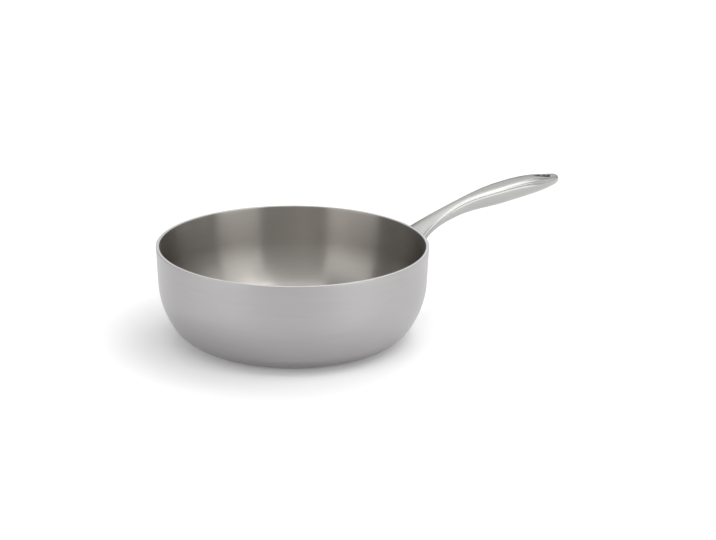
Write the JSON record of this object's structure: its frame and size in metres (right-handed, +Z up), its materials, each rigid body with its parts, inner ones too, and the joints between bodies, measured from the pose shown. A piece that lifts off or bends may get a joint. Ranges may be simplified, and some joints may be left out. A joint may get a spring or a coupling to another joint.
{
  "type": "saucier pan",
  "caption": "Deep straight-lipped saucier pan with a rounded heel, a bonded layered bowl and a long welded hollow handle with a hanging eye.",
  "frame": {"origin": "centre of the flat base underside, on the bowl's axis", "axes": "+Z up out of the bowl along its axis, +X along the handle from the bowl to the hanging eye, +Y to the left of the handle seen from the bowl"},
  "size_m": [0.424, 0.246, 0.1137],
  "materials": {
    "outer_steel": "satin, brushed round the bowl",
    "inner_steel": "fine circular brushing",
    "aluminium": "cut edge of the bonded sheet",
    "handle_steel": "polished to a soft mirror",
    "weld_steel": "ground and polished weld"
  },
  "bodies": {
    "root": {"magnetic_outer_ply": "outer_steel", "lower_bonding_ply": "aluminium", "aluminium_core_ply": "aluminium", "upper_bonding_ply": "aluminium", "cooking_surface_ply": "inner_steel", "handle_foot": "handle_steel", "foot_weld_bead": "weld_steel", "handle_lower_shell": "handle_steel", "handle_upper_shell": "handle_steel", "handle_seam_welds": "weld_steel", "hanging_eye_liner": "handle_steel"}
  },
  "joints": []
}
